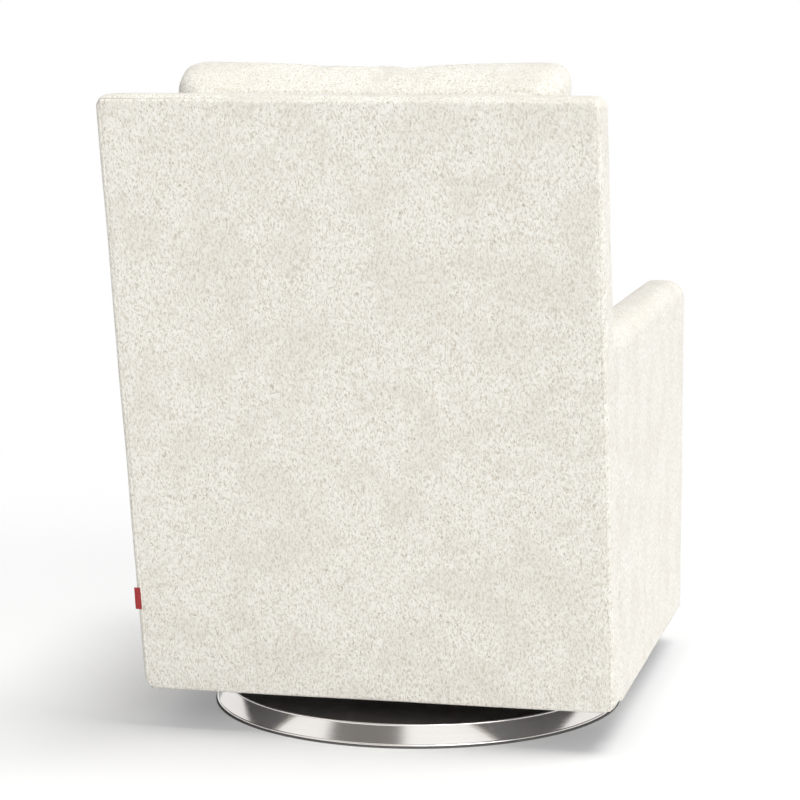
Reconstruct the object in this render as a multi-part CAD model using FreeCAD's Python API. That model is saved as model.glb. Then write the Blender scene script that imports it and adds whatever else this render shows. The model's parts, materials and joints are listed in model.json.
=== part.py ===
import FreeCAD, Part
import math
import os
from FreeCAD import Placement, Rotation, Vector

# Swivel rocker: an upholstered armchair on a round steel foot. The seat turns on a ball bearing
# plate and rocks on two pins that are held level by four coil springs.
# Millimetres. The origin is on the floor, on the swivel axis. +Z is up, the sitter faces -Y.

# Whole chair
chair_width = 740.0
floor_to_body = 65.0
arm_top_height = 642.0
back_top_height = 993.0
arm_front_y = -466.0
back_foot_y = 298.5
back_rake = 11.3
back_depth = 72.0
arm_width = 75.0

# Covers: fabric over thin foam
cover_thickness = 8.0
arm_top_padding = 25.0
arm_front_padding = 14.0
arm_edge_radius = 28.0
arm_front_radius = 10.0
back_edge_radius = 10.0
back_corner_radius = 16.0
rear_band_width = 8.5
inside_back_thickness = 6.0
front_border_setback = 6.0
front_border_radius = 4.0
dust_cover_thickness = 1.2
dust_cover_margin = 25.0
dust_cover_corner = 20.0

# Cushions: foam in boxed fabric covers
seat_cushion_height = 146.0
seat_cushion_nose = 10.0
cushion_side_gap = 0.5
cushion_rest_gap = 0.3
cushion_corner_radius = 26.0
cushion_side_draw = 5.0
cushion_crown_flat = 105.0
back_cushion_thickness = 200.0
back_cushion_top_height = 1033.0
back_cushion_sink = 6.0

# Wooden frame
board = 22.0
bottom_rail_height = 60.0
seat_rail_height = 100.0
seat_rail_top = 300.0
middle_rail_height = 40.0
middle_rail_center = 620.0
mechanism_rail_width = 40.0
mechanism_rail_height = 35.0
corner_block_leg = 60.0
corner_block_height = 60.0

# Suspension of seat and back
seat_spring_count = 5
seat_spring_wire = 3.8
seat_spring_half_width = 22.0
seat_spring_bend_radius = 14.0
seat_spring_edge = 85.0
deck_padding = 29.2
webbing_width = 50.0
webbing_thickness = 1.5
webbing_count_below_arm = 3
webbing_count_above_arm = 4
clip_width = 20.0
clip_wall = 2.0

# Steel foot
ring_foot_radius = 328.5
ring_top_radius = 311.0
ring_height = 33.0
ring_wall = 2.0
ring_bead_radius = 2.0
foot_pad_thickness = 2.0
foot_pad_width = 7.0
cross_arm_width = 40.0
cross_arm_height = 18.0
cross_arm_wall = 2.0
pan_thickness = 1.5
pan_recess = 5.5

# Ball bearing plate
plate_size = 200.0
plate_thickness = 3.0
plate_corner = 15.0
ball_radius = 4.0
ball_count = 16
ball_circle_radius = 78.0
race_depth = 1.2
running_clearance = 0.05
cage_thickness = 2.0
cage_half_width = 7.0
pocket_clearance = 0.15
swivel_pin_radius = 8.0
swivel_pin_head_radius = 14.0

# Rocker mechanism
rock_axis_y = 10.0
rock_axis_height = 120.0
rock_back_limit = 5.5
rock_front_limit = 5.0
cradle_half_width = 130.0
cradle_half_length = 120.0
mechanism_steel = 3.0
cradle_flange_top = 124.0
cradle_lobe_radius = 20.0
head_underside_height = 145.0
head_half_length = 125.0
pivot_pin_radius = 6.0
pivot_head_radius = 11.0
pivot_head_thickness = 5.0
bushing_wall = 3.0
bushing_flange = 1.0
bushing_flange_radius = 12.0
side_play = 0.1
spring_side = 85.0
spring_reach = 92.0
spring_radius = 16.0
spring_wire = 4.6
spring_turns = 7
spring_seat_radius = 22.0
spring_seat_thickness = 2.0
stop_length = 24.0
stop_width = 14.0
stop_grip = 10.0
stop_margin = 0.6

# Fasteners
bolt_radius = 3.0
bolt_head_radius = 5.5
bolt_head_height = 3.0
nut_across = 10.0
nut_height = 4.5
bolt_hole_clearance = 0.25
base_bolt_circle = 91.0
cradle_rivet_offset = 45.0
rivet_head_height = 1.4
head_bolt_side = 38.0

# Side tag: a plain folded ribbon in the rear seam
tag_height = 35.0
tag_bottom_height = 197.0
tag_reach = 6.5
tag_tuck = 10.0
tag_thickness = 1.0

# Levels and planes that the pieces share
half_width = chair_width / 2
arm_inside = half_width - arm_width
cover_inside = half_width - cover_thickness
arm_hollow_inside = arm_inside + cover_thickness
arm_hollow_top = arm_top_height - arm_top_padding
board_front = arm_front_y + arm_front_padding
board_back = board_front + board
frame_bottom = floor_to_body + dust_cover_thickness
seat_rail_bottom = seat_rail_top - seat_rail_height
head_top = head_underside_height + mechanism_steel
frame_setback = back_depth - cover_thickness
rake_slope = math.tan(math.radians(back_rake))
cross_arm_top = ring_height - pan_recess - pan_thickness
pan_top = ring_height - pan_recess
lower_plate_top = pan_top + plate_thickness
ball_level = lower_plate_top + ball_radius - race_depth
upper_plate_bottom = ball_level + ball_radius - race_depth
upper_plate_top = upper_plate_bottom + plate_thickness
cradle_top = upper_plate_top + mechanism_steel
head_flange_inside = cradle_half_width + side_play + bushing_flange
head_flange_outside = head_flange_inside + mechanism_steel
seat_spring_level = seat_rail_top + seat_spring_wire / 2
deck_bottom = seat_spring_level + seat_spring_wire / 2 + clip_wall
deck_top_height = deck_bottom + deck_padding


def box(x0, x1, y0, y1, z0, z1):
    return Part.makeBox(x1 - x0, y1 - y0, z1 - z0, Vector(x0, y0, z0))


def post(radius, x, y, z0, z1):
    """An upright round bar."""
    return Part.makeCylinder(radius, z1 - z0, Vector(x, y, z0))


def cross_bar(radius, x0, x1, y, z):
    """A round bar along X."""
    return Part.makeCylinder(radius, x1 - x0, Vector(x0, y, z), Vector(1, 0, 0))


def hexagon(across, x, y, z0, z1):
    corner = across / math.sqrt(3)
    points = [Vector(x + corner * math.cos(i * math.pi / 3), y + corner * math.sin(i * math.pi / 3), z0)
              for i in range(7)]
    return Part.Face(Part.makePolygon(points)).extrude(Vector(0, 0, z1 - z0))


def side_profile(points, x0, x1):
    """A prism along X whose outline is given as (y, z) points."""
    corners = [Vector(x0, y, z) for y, z in points]
    return Part.Face(Part.makePolygon(corners + corners[:1])).extrude(Vector(x1 - x0, 0, 0))


def back_face_y(z):
    """Where the outside back stands at a height."""
    return back_foot_y + (z - floor_to_body) * rake_slope


def raked(x0, x1, near, far, z0, z1):
    """A board that follows the rake, from near to far in front of the outside back's face."""
    return side_profile([(back_face_y(z0) - far, z0), (back_face_y(z0) - near, z0),
                         (back_face_y(z1) - near, z1), (back_face_y(z1) - far, z1)], x0, x1)


def level_board(x0, x1, y_front, setback, z0, z1):
    """A board that runs back from y_front to a plane in front of the outside back's face."""
    return side_profile([(y_front, z0), (back_face_y(z0) - setback, z0),
                         (back_face_y(z1) - setback, z1), (y_front, z1)], x0, x1)


def mirrored(shape):
    return shape.mirror(Vector(0, 0, 0), Vector(1, 0, 0))


def edges_where(shape, test):
    """The straight edges whose two ends both pass a test."""
    return [e for e in shape.Edges if len(e.Vertexes) == 2 and all(test(v.Point) for v in e.Vertexes)]


def near(a, b):
    return abs(a - b) < 0.01


def rounded_plate(half_x, half_y, corner, y_center, z0, z1):
    plate = box(-half_x, half_x, y_center - half_y, y_center + half_y, z0, z1)
    upright = [e for e in plate.Edges if near(e.BoundBox.ZLength, z1 - z0)]
    return plate.makeFillet(corner, upright)


def export(node, solids):
    shape = solids if isinstance(solids, Part.Shape) else Part.makeCompound(solids)
    shape.exportStep("parts/%s.step" % node)


# Steel foot: a conical stainless band with rolled edges on a thin floor pad, welded to a cross of
# box tubes, with a black pan on top.

def inner_cone():
    """The space inside the band."""
    rise = ring_height - foot_pad_thickness - 2 * ring_bead_radius
    slope = (ring_foot_radius - ring_top_radius) / rise
    inset = ring_bead_radius + ring_wall / 2 * math.sqrt(1 + slope * slope)
    low = ring_foot_radius - inset
    high = ring_top_radius - inset
    return Part.makeCone(low, high, rise, Vector(0, 0, foot_pad_thickness + ring_bead_radius))


def base_ring():
    """Revolved from a section like a dumb-bell: a sloping wall between two round beads."""
    low = Vector(ring_foot_radius - ring_bead_radius, 0, foot_pad_thickness + ring_bead_radius)
    high = Vector(ring_top_radius - ring_bead_radius, 0, ring_height - ring_bead_radius)
    along = (high - low).normalize()
    outward = Vector(along.z, 0, -along.x)
    reach = math.sqrt(ring_bead_radius ** 2 - (ring_wall / 2) ** 2)
    half_wall = outward * (ring_wall / 2)
    low_out = low + along * reach + half_wall
    high_out = high - along * reach + half_wall
    high_in = high - along * reach - half_wall
    low_in = low + along * reach - half_wall
    edges = [Part.LineSegment(low_out, high_out).toShape(),
             Part.Arc(high_out, high + along * ring_bead_radius, high_in).toShape(),
             Part.LineSegment(high_in, low_in).toShape(),
             Part.Arc(low_in, low - along * ring_bead_radius, low_out).toShape()]
    return Part.Face(Part.Wire(edges)).revolve(Vector(0, 0, 0), Vector(0, 0, 1), 360)


def base_foot_pad():
    outer = ring_foot_radius - ring_bead_radius + foot_pad_width / 2
    pad = post(outer, 0, 0, 0, foot_pad_thickness)
    return pad.cut(post(outer - foot_pad_width, 0, 0, 0, foot_pad_thickness))


def base_bolt_places():
    return [(base_bolt_circle * math.cos(i * math.pi / 2), base_bolt_circle * math.sin(i * math.pi / 2))
            for i in range(4)]


def bolt_holes(places, z0, z1):
    return [post(bolt_radius + bolt_hole_clearance, x, y, z0, z1) for x, y in places]


def base_cross_arms():
    """Two box tubes that cross, cut to the slope of the band at their ends."""
    bottom = cross_arm_top - cross_arm_height
    reach = ring_foot_radius
    half = cross_arm_width / 2
    outer = box(-reach, reach, -half, half, bottom, cross_arm_top)
    outer = outer.fuse(box(-half, half, -reach, reach, bottom, cross_arm_top)).removeSplitter()
    half -= cross_arm_wall
    low = bottom + cross_arm_wall
    high = cross_arm_top - cross_arm_wall
    hollow = box(-reach, reach, -half, half, low, high).fuse(box(-half, half, -reach, reach, low, high))
    arms = outer.common(inner_cone()).cut(hollow)
    return arms.cut(bolt_holes(base_bolt_places(), bottom, cross_arm_top))


def base_pan():
    disc = post(ring_foot_radius, 0, 0, cross_arm_top, pan_top).common(inner_cone())
    disc = disc.cut(post(swivel_pin_head_radius, 0, 0, cross_arm_top, pan_top))
    return disc.cut(bolt_holes(base_bolt_places(), cross_arm_top, pan_top))


def hex_bolt(x, y, z_low, z_high):
    """A round-headed bolt with its head above z_high and its hex nut under z_low."""
    bolt = post(bolt_radius, x, y, z_low - nut_height, z_high)
    bolt = bolt.fuse(post(bolt_head_radius, x, y, z_high, z_high + bolt_head_height)).removeSplitter()
    nut = hexagon(nut_across, x, y, z_low - nut_height, z_low)
    nut = nut.cut(post(bolt_radius, x, y, z_low - nut_height, z_low))
    return [bolt, nut]


def base_bolts():
    group = []
    for x, y in base_bolt_places():
        group += hex_bolt(x, y, cross_arm_top - cross_arm_height, lower_plate_top)
    return group


# Ball bearing plate: a fixed and a turning steel plate, with caged balls in pressed races and one
# headed pin that holds them together.

def race():
    """The ring-shaped groove that the balls run in, in both plates."""
    return Part.makeTorus(ball_circle_radius, ball_radius + running_clearance, Vector(0, 0, ball_level))


def bearing_lower_plate():
    half = plate_size / 2
    plate = rounded_plate(half, half, plate_corner, 0, pan_top, lower_plate_top)
    plate = plate.cut(race()).cut(post(swivel_pin_radius, 0, 0, pan_top, lower_plate_top))
    return plate.cut(bolt_holes(base_bolt_places(), pan_top, lower_plate_top))


def bearing_upper_plate():
    half = plate_size / 2
    plate = rounded_plate(half, half, plate_corner, 0, upper_plate_bottom, upper_plate_top)
    bore = post(swivel_pin_radius + running_clearance, 0, 0, upper_plate_bottom, upper_plate_top)
    return plate.cut(race()).cut(bore).cut(rivet_holes(upper_plate_bottom, upper_plate_top))


def swivel_pin():
    head_bottom = upper_plate_top + side_play
    pin = post(swivel_pin_radius, 0, 0, pan_top, head_bottom)
    pin = pin.fuse(post(swivel_pin_head_radius, 0, 0, cross_arm_top, pan_top))
    return pin.fuse(post(swivel_pin_head_radius, 0, 0, head_bottom, cradle_top)).removeSplitter()


def ball_places():
    step = 2 * math.pi / ball_count
    return [Vector(ball_circle_radius * math.cos(i * step), ball_circle_radius * math.sin(i * step),
                   ball_level) for i in range(ball_count)]


def bearing_balls():
    return [Part.makeSphere(ball_radius, place) for place in ball_places()]


def bearing_cage():
    low = ball_level - cage_thickness / 2
    high = ball_level + cage_thickness / 2
    ring = post(ball_circle_radius + cage_half_width, 0, 0, low, high)
    ring = ring.cut(post(ball_circle_radius - cage_half_width, 0, 0, low, high))
    return ring.cut([post(ball_radius + pocket_clearance, p.x, p.y, low, high) for p in ball_places()])


# Rocker mechanism: a steel cradle riveted to the turning plate, a head plate hung on its two pivot
# pins, four coil springs between them and four rubber stops.

def rivet_places():
    return [(sx * cradle_rivet_offset, sy * cradle_rivet_offset) for sx in (-1, 1) for sy in (-1, 1)]


def rivet_holes(z0, z1):
    return [post(bolt_radius, x, y, z0, z1) for x, y in rivet_places()]


def cradle_rivets():
    group = []
    for x, y in rivet_places():
        rivet = post(bolt_radius, x, y, upper_plate_bottom, cradle_top)
        rivet = rivet.fuse(post(bolt_head_radius, x, y, upper_plate_bottom - rivet_head_height,
                                upper_plate_bottom))
        rivet = rivet.fuse(post(bolt_head_radius, x, y, cradle_top, cradle_top + rivet_head_height))
        group.append(rivet.removeSplitter())
    return group


def cradle_side(x0, x1):
    """One upright side of the cradle, with a round lobe for its pivot pin."""
    front = rock_axis_y - cradle_half_length
    rear = rock_axis_y + cradle_half_length
    side = box(x0, x1, front, rear, upper_plate_top, cradle_flange_top)
    side = side.fuse(cross_bar(cradle_lobe_radius, x0, x1, rock_axis_y, rock_axis_height))
    return side.cut(cross_bar(pivot_pin_radius, x0, x1, rock_axis_y, rock_axis_height))


def rocker_cradle():
    """Floor and two sides, bent from one steel plate."""
    inner = cradle_half_width - mechanism_steel
    floor = box(-cradle_half_width, cradle_half_width, rock_axis_y - cradle_half_length,
                rock_axis_y + cradle_half_length, upper_plate_top, cradle_top)
    floor = floor.cut(post(swivel_pin_head_radius + 2, 0, 0, upper_plate_top, cradle_top))
    floor = floor.cut(rivet_holes(upper_plate_top, cradle_top))
    side = cradle_side(inner, cradle_half_width)
    return floor.fuse([side, mirrored(side)]).removeSplitter()


def pivot_pin():
    """A shoulder pin through the head's bushing and the cradle's side, with its nut inside."""
    inner = cradle_half_width - mechanism_steel
    head_start = head_flange_outside + side_play
    pin = cross_bar(pivot_pin_radius, inner - nut_height, head_start, rock_axis_y, rock_axis_height)
    head = cross_bar(pivot_head_radius, head_start, head_start + pivot_head_thickness, rock_axis_y,
                     rock_axis_height)
    nut = cross_bar(pivot_head_radius, inner - nut_height, inner, rock_axis_y, rock_axis_height)
    nut = nut.cut(cross_bar(pivot_pin_radius, inner - nut_height, inner, rock_axis_y, rock_axis_height))
    return [pin.fuse(head).removeSplitter(), nut]


def pivot_bushing():
    """A flanged nylon bush, pressed into the head's side."""
    sleeve = cross_bar(pivot_pin_radius + bushing_wall, head_flange_inside, head_flange_outside,
                       rock_axis_y, rock_axis_height)
    flange = cross_bar(bushing_flange_radius, head_flange_inside - bushing_flange, head_flange_inside,
                       rock_axis_y, rock_axis_height)
    bore = cross_bar(pivot_pin_radius + running_clearance, head_flange_inside - bushing_flange,
                     head_flange_outside, rock_axis_y, rock_axis_height)
    return sleeve.fuse(flange).cut(bore)


def mechanism_rail_y(side):
    return rock_axis_y + side * spring_reach


def head_bolt_places():
    return [(sx * head_bolt_side, mechanism_rail_y(sy)) for sx in (-1, 1) for sy in (-1, 1)]


def rocker_head():
    """A top plate with two ears that hang on the pivot pins."""
    plate = box(-head_flange_outside, head_flange_outside, rock_axis_y - head_half_length,
                rock_axis_y + head_half_length, head_underside_height, head_top)
    plate = plate.cut(bolt_holes(head_bolt_places(), head_underside_height, head_top))
    ear = box(head_flange_inside, head_flange_outside, rock_axis_y - cradle_lobe_radius,
              rock_axis_y + cradle_lobe_radius, rock_axis_height, head_underside_height)
    ear = ear.fuse(cross_bar(cradle_lobe_radius, head_flange_inside, head_flange_outside, rock_axis_y,
                             rock_axis_height))
    ear = ear.cut(cross_bar(pivot_pin_radius + bushing_wall, head_flange_inside, head_flange_outside,
                            rock_axis_y, rock_axis_height))
    return plate.fuse([ear, mirrored(ear)]).removeSplitter()


def head_bolts():
    """Bolts that hold the head plate up to the two mechanism rails."""
    rail_top = head_top + mechanism_rail_height
    group = []
    for x, y in head_bolt_places():
        group += hex_bolt(x, y, head_underside_height, rail_top)
    return group


def rock_stop(side):
    """A rubber block clipped over the cradle's edge. It meets the head just past the limit."""
    limit = math.radians(rock_back_limit if side > 0 else rock_front_limit)
    reach = spring_reach + stop_length / 2
    rise = head_underside_height - rock_axis_height
    top = rock_axis_height + rise * math.cos(limit) - reach * math.sin(limit) - stop_margin
    y = mechanism_rail_y(side)
    middle = cradle_half_width - mechanism_steel / 2
    block = box(middle - stop_width / 2, cradle_half_width + side_play, y - stop_length / 2,
                y + stop_length / 2, cradle_flange_top - stop_grip, top)
    slot = box(middle - mechanism_steel / 2, middle + mechanism_steel / 2 + side_play,
               y - stop_length / 2, y + stop_length / 2, cradle_flange_top - stop_grip, cradle_flange_top)
    return block.cut(slot)


def rock_stops():
    right = [rock_stop(side) for side in (-1, 1)]
    return right + [mirrored(stop) for stop in right]


def spring_places():
    return [(sx * spring_side, rock_axis_y + sy * spring_reach) for sy in (-1, 1) for sx in (-1, 1)]


def spring_cups(plate_level, up):
    """Round cups, each with a peg inside the spring's end. up is 1 on the cradle, -1 under the head."""
    cups = []
    peg = spring_radius - spring_wire
    for x, y in spring_places():
        levels = sorted([plate_level, plate_level + up * spring_seat_thickness])
        cup = post(spring_seat_radius, x, y, *levels)
        levels = sorted([plate_level, plate_level + up * (spring_seat_thickness + 2 * spring_wire)])
        cups.append(cup.fuse(post(peg, x, y, *levels)).removeSplitter())
    return cups


def biarc(start, start_way, end, end_way):
    """Two arcs that leave start along start_way, meet smoothly and reach end along end_way."""
    span = end - start
    total = start_way + end_way
    spread = 2 * (1 - start_way.dot(end_way))
    dot = span.dot(total)
    reach = (-dot + math.sqrt(dot * dot + spread * span.dot(span))) / spread
    joint = (start + end + (start_way - end_way) * reach) * 0.5
    return [tangent_arc(start, start_way, joint), tangent_arc(end, end_way * -1, joint)]


def tangent_arc(start, way, end):
    chord = end - start
    inward = chord - way * chord.dot(way)
    inward.normalize()
    radius = chord.dot(chord) / (2 * chord.dot(inward))
    center = start + inward * radius
    middle = (start - center) + (end - center)
    middle.normalize()
    return Part.Arc(start, center + middle * radius, end)


def rock_spring(x, y):
    """An unbroken helical tube with a straight run of one wire diameter at each end."""
    bottom = cradle_top + spring_seat_thickness + spring_wire / 2
    top = head_underside_height - spring_seat_thickness - spring_wire / 2
    pitch = (top - bottom) / spring_turns
    rise = pitch / (2 * math.pi)

    def place(angle):
        return Vector(x + spring_radius * math.cos(angle), y + spring_radius * math.sin(angle),
                      bottom + rise * angle)

    def way(angle):
        run = Vector(-spring_radius * math.sin(angle), spring_radius * math.cos(angle), rise)
        return run.normalize()

    last = spring_turns * 2 * math.pi
    edges = [Part.LineSegment(place(0) - Vector(0, spring_wire, 0), place(0)).toShape()]
    for quarter in range(spring_turns * 4):
        a = quarter * math.pi / 2
        b = a + math.pi / 2
        edges += [arc.toShape() for arc in biarc(place(a), way(a), place(b), way(b))]
    edges.append(Part.LineSegment(place(last), place(last) + Vector(0, spring_wire, 0)).toShape())
    path = Part.Wire(Part.__sortEdges__(edges))
    section = wire_section(place(0) - Vector(0, spring_wire, 0), Vector(0, 1, 0), spring_wire / 2)
    return path.makePipeShell([section], True, False), least_gap(place, last)


def least_gap(place, last):
    """The smallest distance between neighbouring turns of a coil, less its wire."""
    turn = 2 * math.pi
    steps = 24
    apart = [(place(i * turn / steps) - place(j * turn / steps + turn)).Length
             for i in range(steps) for j in range(i - 2, i + 3) if j * turn / steps + turn <= last]
    return min(apart) - spring_wire


def wire_section(center, way, radius):
    """The section of a spring's wire, with six flats."""
    turn = Rotation(Vector(0, 0, 1), way)
    corners = [center + turn.multVec(Vector(radius * math.cos(i * math.pi / 3),
                                            radius * math.sin(i * math.pi / 3), 0)) for i in range(7)]
    return Part.makePolygon(corners)


# Wooden frame, glued and stapled from plywood boards

def corner_blocks():
    """Triangular blocks in the corners of the seat frame, flush with the top of its rails."""
    low = seat_rail_top - corner_block_height
    front = side_block(arm_inside, board_back, 1, low)
    rear_y = back_face_y(low) - frame_setback
    rear = side_block(arm_inside, rear_y, -1, low)
    rear = rear.fuse(level_board(arm_inside - corner_block_leg, arm_inside, rear_y, frame_setback,
                                 low, seat_rail_top)).removeSplitter()
    return [front, mirrored(front), rear, mirrored(rear)]


def side_block(x, y, way, low):
    points = [Vector(x, y, low), Vector(x - corner_block_leg, y, low),
              Vector(x, y + way * corner_block_leg, low), Vector(x, y, low)]
    return Part.Face(Part.makePolygon(points)).extrude(Vector(0, 0, corner_block_height))


def back_post():
    return raked(cover_inside - board, cover_inside, cover_thickness, frame_setback, frame_bottom,
                 back_top_height - cover_thickness - board)


def back_top_rail():
    return raked(-cover_inside, cover_inside, cover_thickness, frame_setback,
                 back_top_height - cover_thickness - board, back_top_height - cover_thickness)


def back_middle_rail():
    half = cover_inside - board
    return raked(-half, half, cover_thickness, cover_thickness + board,
                 middle_rail_center - middle_rail_height / 2, middle_rail_center + middle_rail_height / 2)


def back_seat_rail():
    half = cover_inside - board
    return raked(-half, half, frame_setback - board, frame_setback, seat_rail_bottom, seat_rail_top)


def back_bottom_rail():
    half = cover_inside - board
    return raked(-half, half, cover_thickness, cover_thickness + board, frame_bottom,
                 frame_bottom + bottom_rail_height)


def front_seat_rail():
    return box(-arm_hollow_inside, arm_hollow_inside, board_front, board_back, seat_rail_bottom,
               seat_rail_top)


def front_bottom_rail():
    return box(-arm_hollow_inside, arm_hollow_inside, board_front, board_back, frame_bottom,
               frame_bottom + bottom_rail_height)


def arm_front_board():
    return box(arm_hollow_inside, cover_inside, board_front, board_back, frame_bottom,
               arm_hollow_top - board)


def arm_top_rail():
    return level_board(arm_hollow_inside, cover_inside, board_front, frame_setback,
                       arm_hollow_top - board, arm_hollow_top)


def side_bottom_rail():
    return level_board(cover_inside - board, cover_inside, board_back, frame_setback, frame_bottom,
                       frame_bottom + bottom_rail_height)


def seat_side_rail():
    return level_board(arm_inside, arm_inside + board, board_back, frame_setback, head_top, seat_rail_top)


def mechanism_rail(side):
    y = mechanism_rail_y(side)
    top = head_top + mechanism_rail_height
    rail = box(-arm_inside, arm_inside, y - mechanism_rail_width / 2, y + mechanism_rail_width / 2,
               head_top, top)
    return rail.cut(bolt_holes(head_bolt_places(), head_top, top))


# Suspension: zigzag wire springs under the seat and elastic webbing behind the back cushion

def seat_spring_columns():
    reach = arm_inside - seat_spring_edge
    return [(2 * i / (seat_spring_count - 1) - 1) * reach for i in range(seat_spring_count)]


def seat_spring_ends():
    """The first and last bar of each zigzag, on the middle of the front and back seat rails."""
    front = board_front + board / 2
    rear = back_face_y(seat_rail_top) - frame_setback + board / 2
    return front, rear


def seat_spring(column):
    """Bars across the seat joined by round bends, all in one plane."""
    front, rear = seat_spring_ends()
    gaps = 2 * round((rear - front) / (4 * seat_spring_bend_radius)) - 1
    pitch = (rear - front) / gaps
    bend = pitch / 2
    half = seat_spring_half_width - bend
    level = seat_spring_level
    edges = []
    for i in range(gaps + 1):
        y = front + i * pitch
        way = 1 if i % 2 == 0 else -1
        start = Vector(column - way * half, y, level)
        end = Vector(column + way * half, y, level)
        edges.append(Part.LineSegment(start, end).toShape())
        if i < gaps:
            tip = Vector(column + way * seat_spring_half_width, y + bend, level)
            edges.append(Part.Arc(end, tip, Vector(end.x, y + pitch, level)).toShape())
    section = wire_section(Vector(column - half, front, level), Vector(1, 0, 0), seat_spring_wire / 2)
    return Part.Wire(edges).makePipeShell([section], True, False)


def seat_springs():
    return [seat_spring(column) for column in seat_spring_columns()]


def spring_clips():
    """Bent steel clips that hold each end bar of a zigzag down on its rail."""
    group = []
    front, rear = seat_spring_ends()
    wire = seat_spring_wire / 2
    half = clip_width / 2
    for x in seat_spring_columns():
        for y in (front, rear):
            clip = box(x - half, x + half, y - wire - clip_wall, y + wire + clip_wall, seat_rail_top,
                       deck_bottom)
            group.append(clip.cut(box(x - half, x + half, y - wire, y + wire, seat_rail_top,
                                      deck_bottom - clip_wall)))
    return group


def back_webbing():
    """Elastic bands across the back posts, stapled to their front edges."""
    top = back_top_height - cover_thickness - board
    zones = [(deck_top_height, arm_hollow_top - board, webbing_count_below_arm),
             (arm_hollow_top, top, webbing_count_above_arm)]
    bands = []
    for low, high, count in zones:
        for i in range(count):
            middle = low + (high - low) * (i + 0.5) / count
            bands.append(raked(-cover_inside, cover_inside, frame_setback,
                               frame_setback + webbing_thickness, middle - webbing_width / 2,
                               middle + webbing_width / 2))
    return bands


# Upholstery

def back_block():
    """The outer form of the back with softened edges."""
    block = raked(-half_width, half_width, 0, back_depth, floor_to_body, back_top_height)
    corners = edges_where(block, lambda p: near(p.z, back_top_height) and near(abs(p.x), half_width))
    block = block.makeFillet(back_corner_radius, corners)
    outline = [e for e in block.Edges if e.BoundBox.XLength > 1 and e.BoundBox.ZMax > back_top_height / 2
               or near(abs(e.BoundBox.XMax), half_width) and e.BoundBox.ZLength > back_top_height / 2
               or near(abs(e.BoundBox.XMin), half_width) and e.BoundBox.ZLength > back_top_height / 2]
    return block.makeFillet(back_edge_radius, outline)


def back_border():
    """The band round the sides and top of the back, turned a little onto its rear face."""
    hollow = raked(-cover_inside, cover_inside, 0, back_depth, floor_to_body,
                   back_top_height - cover_thickness)
    side = half_width - rear_band_width
    opening = raked(-side, side, -1, cover_thickness, floor_to_body, back_top_height - rear_band_width)
    rear_cover_space = raked(-cover_inside, cover_inside, 0, cover_thickness, floor_to_body,
                             back_top_height - cover_thickness)
    return back_block().cut(hollow.cut(rear_cover_space).fuse(opening))


def outside_back():
    """The rear panel, set inside the border's turned edge."""
    side = half_width - rear_band_width
    panel = raked(-side, side, 0, cover_thickness, floor_to_body, back_top_height - rear_band_width)
    return panel


def inside_back():
    """The padded front of the back, wider above the arms."""
    low = deck_top_height
    upper = raked(-cover_inside, cover_inside, back_depth - inside_back_thickness, back_depth,
                  arm_top_height, back_top_height - cover_thickness)
    lower = raked(-arm_inside, arm_inside, back_depth - inside_back_thickness, back_depth, low,
                  arm_top_height)
    return upper.fuse(lower).removeSplitter()


def arm_cover():
    """Fabric over the arm: outside, rounded top and front, and inside down to the seat frame."""
    block = level_board(arm_inside, half_width, arm_front_y, back_depth, floor_to_body, arm_top_height)
    top = edges_where(block, lambda p: near(p.z, arm_top_height))
    top = [e for e in top if not (e.BoundBox.XLength > 1 and e.BoundBox.YMin > 0)]
    block = block.makeFillet(arm_edge_radius, top)
    front = [e for e in block.Edges if near(e.BoundBox.YMax, arm_front_y) and e.BoundBox.ZLength > arm_top_height / 2]
    block = block.makeFillet(arm_front_radius, front)
    hollow = level_board(arm_hollow_inside, cover_inside, board_front, back_depth, floor_to_body,
                         arm_hollow_top)
    under = level_board(arm_inside, arm_hollow_inside, board_front, back_depth, floor_to_body,
                        seat_rail_top)
    return block.cut(hollow.fuse(under))


def front_border():
    """The panel under the seat cushion, between the arms."""
    front = arm_front_y + front_border_setback
    panel = box(-arm_inside, arm_inside, front, board_front, floor_to_body, deck_top_height)
    top = [e for e in panel.Edges if near(e.BoundBox.YMax, front) and near(e.BoundBox.ZMin, deck_top_height)]
    return panel.makeFillet(front_border_radius, top)


def seat_deck():
    """A thin padded platform over the zigzag springs."""
    return level_board(-arm_inside, arm_inside, board_front, back_depth, deck_bottom, deck_top_height)


def dust_cover():
    """Black cloth under the frame with an opening for the mechanism."""
    sheet = level_board(-cover_inside, cover_inside, board_front, cover_thickness, floor_to_body,
                        frame_bottom)
    opening = rounded_plate(head_flange_outside + dust_cover_margin, head_half_length + dust_cover_margin,
                            dust_cover_corner, rock_axis_y, floor_to_body, frame_bottom)
    return sheet.cut(opening)


def cushion_outline(half_x, half_y, corner, draw, level):
    """A rectangle with round corners whose four sides are drawn in between them."""
    edges = []
    turn = math.radians(90)
    for i in range(4):
        way = Rotation(Vector(0, 0, 1), math.degrees(i * turn))
        along, across = (half_y, half_x) if i % 2 == 0 else (half_x, half_y)
        start = way.multVec(Vector(across, -(along - corner), 0))
        middle = way.multVec(Vector(across - draw, 0, 0))
        end = way.multVec(Vector(across, along - corner, 0))
        tip = way.multVec(Vector(across - corner * (1 - math.sqrt(0.5)),
                                 along - corner * (1 - math.sqrt(0.5)), 0))
        corner_end = way.multVec(Vector(across - corner, along, 0))
        lift = Vector(0, 0, level)
        edges.append(Part.Arc(start + lift, middle + lift, end + lift).toShape())
        edges.append(Part.Arc(end + lift, tip + lift, corner_end + lift).toShape())
    return Part.Wire(edges)


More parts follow.
